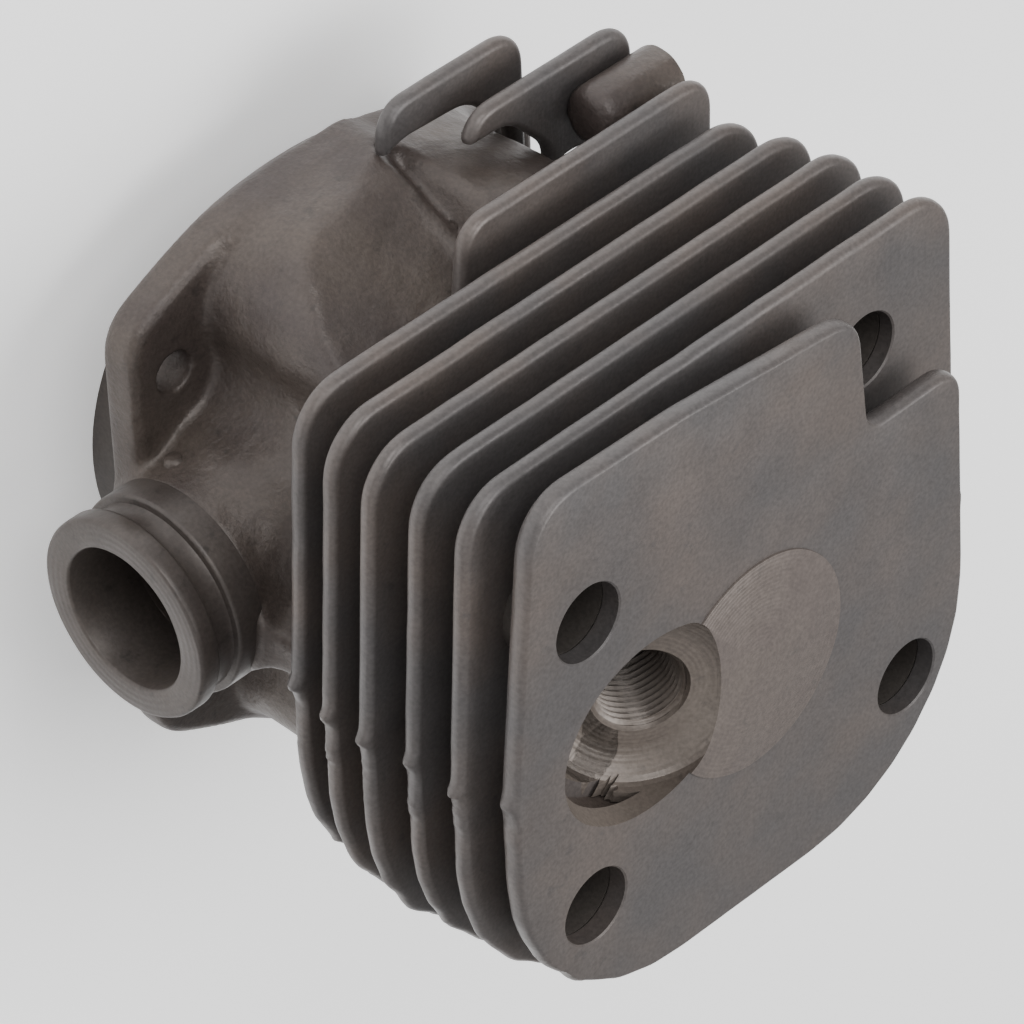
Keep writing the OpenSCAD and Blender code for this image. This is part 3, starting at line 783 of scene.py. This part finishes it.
def tap_body(major, minor, pitch, low, high, turns, steps):
    """A tap: a bar with a helical V thread, closed at both ends."""
    points, faces = [], []
    rows = int((high - low) / pitch * steps)
    for row in range(rows + 1):
        height = low + pitch * row / steps
        for i in range(turns):
            angle = 2 * math.pi * i / turns
            phase = (row / steps - i / turns) % 1.0
            ridge = 1 - abs(2 * phase - 1)
            r = minor + (major - minor) * min(1.0, max(0.0, 1.35 * ridge - 0.15))
            fade = min(1.0, max(0.0, (high - height) / 0.6))
            r = minor + (r - minor) * fade
            place = plug_frame @ Vector((r * math.cos(angle), r * math.sin(angle), height))
            points.append(tuple(place * MM))
    for row in range(rows):
        for i in range(turns):
            j = (i + 1) % turns
            faces.append((row * turns + i, row * turns + j, (row + 1) * turns + j, (row + 1) * turns + i))
    faces.append(tuple(range(turns))[::-1])
    faces.append(tuple(rows * turns + i for i in range(turns)))
    return points, faces


tap = solid_mesh("tap", *tap_body(
    major=7.0, minor=6.35, pitch=1.25, low=-26.0, high=0.4, turns=72, steps=8))
cut_with(boss, tap)
chamfer_profile = [(0.0, -1.2), (6.5, -1.2)] + chamfer_mouth
chamfer = solid_mesh("chamfer", *turned(chamfer_profile, 96, plug_frame))
cut_with(boss, chamfer)


def ragged_body(centre, heading, size, turns, seed):
    """A broken opening: a short rough bar through the wall, level, along a heading."""
    rng = np.random.default_rng(seed)
    radius = 1 + 0.18 * rng.normal(0, 1, turns)
    along = np.array((math.cos(heading), math.sin(heading), 0))
    across = np.array((-math.sin(heading), math.cos(heading), 0))
    points = []
    for depth in (-size[0], size[0]):
        for i in range(turns):
            angle = 2 * math.pi * i / turns
            place = np.array(centre) + depth * along + size[1] * radius[i] * math.cos(angle) * across
            place[2] += size[2] * radius[i] * math.sin(angle)
            points.append(tuple(place * MM))
    faces = [(i, (i + 1) % turns, turns + (i + 1) % turns, turns + i) for i in range(turns)]
    faces += [tuple(range(turns))[::-1], tuple(range(turns, 2 * turns))]
    return points, faces


break_out = solid_mesh("break_out", *ragged_body(
    centre=(-28.2, -12.6, 81.2), heading=math.radians(224), size=(4.5, 6.2, 1.35), turns=30, seed=5))
cut_with(boss, break_out)
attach(boss, "root")
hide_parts("plug_boss")
scrap(spot_cutter, drill_cutter, head_slab, tap, chamfer, break_out)

# ---------------------------------------------------------------------------
# Intake spigot: collar, boot groove and bead on one axis, cast with soft edges
# and a turned end face that has darkened.
spigot_paint = turned_paint("spigot_skin", (0.058, 0.048, 0.044), (0.080, 0.066, 0.058),
                            (0.032, 0.027, 0.025), (0, 0, intake_z * MM), math.radians(90), 0.0011, 0.35)
end_x = intake_low[0] / MM
spigot_end = [(11.5, 0.5), (11.75, 0.12), (12.1, 0.0), (15.6, 0.0), (16.05, 0.14), (16.25, 0.5)]
boot_bead = [(16.3, 1.2), (16.3, 3.1), (16.15, 3.55), (15.8, 3.75)]
boot_groove = [(15.1, 3.9), (14.9, 4.3), (14.9, 7.0), (15.1, 7.4)]
spigot_collar = [(15.9, 7.5), (16.2, 7.7), (16.3, 8.2), (16.3, 12.5), (11.5, 12.5)]
spigot_profile = spigot_end + boot_bead + boot_groove + spigot_collar
spigot_frame = Matrix.Translation((end_x, 0, intake_z)) @ Matrix.Rotation(math.radians(90), 4, "Y")
spigot = solid_mesh("spigot", *turned(spigot_profile, 144, spigot_frame, 0.06, 3))
spigot.data.materials.append(spigot_paint)
shade(spigot.data, 50)
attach(spigot, "root")
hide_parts("intake_spigot")

# ---------------------------------------------------------------------------
# Muffler screw bosses: round cast bars between the barrel fins, rounded at the
# inner end and drilled from the exhaust face.
for name in ("muffler_boss_left", "muffler_boss_right"):
    low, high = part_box(name)
    length = (high[0] - low[0]) / MM
    radius = (high[1] - low[1]) / 2 / MM
    inner_end = (low[0] / MM, *middle_of(name)[1:])
    round_end = [(0.0, 0.0), (radius - 2.2, 0.05), (radius - 0.9, 0.5), (radius - 0.2, 1.4), (radius, 2.6)]
    bar_face = [(radius, length - 0.5), (radius - 0.15, length - 0.15), (radius - 0.5, length)]
    screw_hole = [(2.9, length), (2.5, length - 0.4), (2.5, length - 12), (0.0, length - 13.2)]
    bar_profile = round_end + bar_face + screw_hole
    bar_frame = Matrix.Translation(inner_end) @ Matrix.Rotation(math.radians(90), 4, "Y")
    bar = solid_mesh(name.replace("boss", "bar"), *turned(bar_profile, 72, bar_frame, 0.10, 6))
    bar.data.materials.append(cast_paint)
    shade(bar.data, 40)
    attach(bar, "root")
    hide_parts(name)

# ---------------------------------------------------------------------------
# Casting peg: the round end of an ejector pin's boss, a low bump on the root.
peg_low, peg_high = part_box("casting_peg")
peg_r = (peg_high[0] - peg_low[0]) / 2 / MM
peg_x, _, peg_z = middle_of("casting_peg")
peg_end = (peg_x, peg_high[1] / MM, peg_z)
peg_frame = Matrix.Translation(peg_end) @ Matrix.Rotation(math.radians(90), 4, "X")
peg_profile = [(0.0, 0.0), (peg_r - 0.9, 0.05), (peg_r - 0.3, 0.3), (peg_r - 0.05, 0.75),
               (peg_r, 1.3), (peg_r, 5.0), (0.0, 5.0)]
peg = solid_mesh("peg", *turned(peg_profile, 48, peg_frame, 0.08, 8))
peg.data.materials.append(cast_paint)
shade(peg.data, 50)
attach(peg, "root")
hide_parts("casting_peg")

# ---------------------------------------------------------------------------
# Regions that keep their CAD shape: the barrel and the dome have the cast skin,
# the skirt and the exhaust face are turned, the columns show their draw marks.
column_paint = fin_paint_of("column_skin", (0.070, 0.062, 0.056), (0.095, 0.083, 0.075),
                            (0.040, 0.036, 0.034), 0.3)
skirt_paint = turned_paint("skirt_skin", (0.060, 0.050, 0.045), (0.080, 0.068, 0.060),
                           (0.035, 0.031, 0.029), (0, 0, 0), 0.0, 0.0009, 0.3)
for name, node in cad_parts.items():
    paint = cast_paint
    if name.startswith("screw_column"):
        paint = column_paint
    elif name in ("skirt", "exhaust_flange"):
        paint = skirt_paint
    node.data.materials.clear()
    node.data.materials.append(paint)
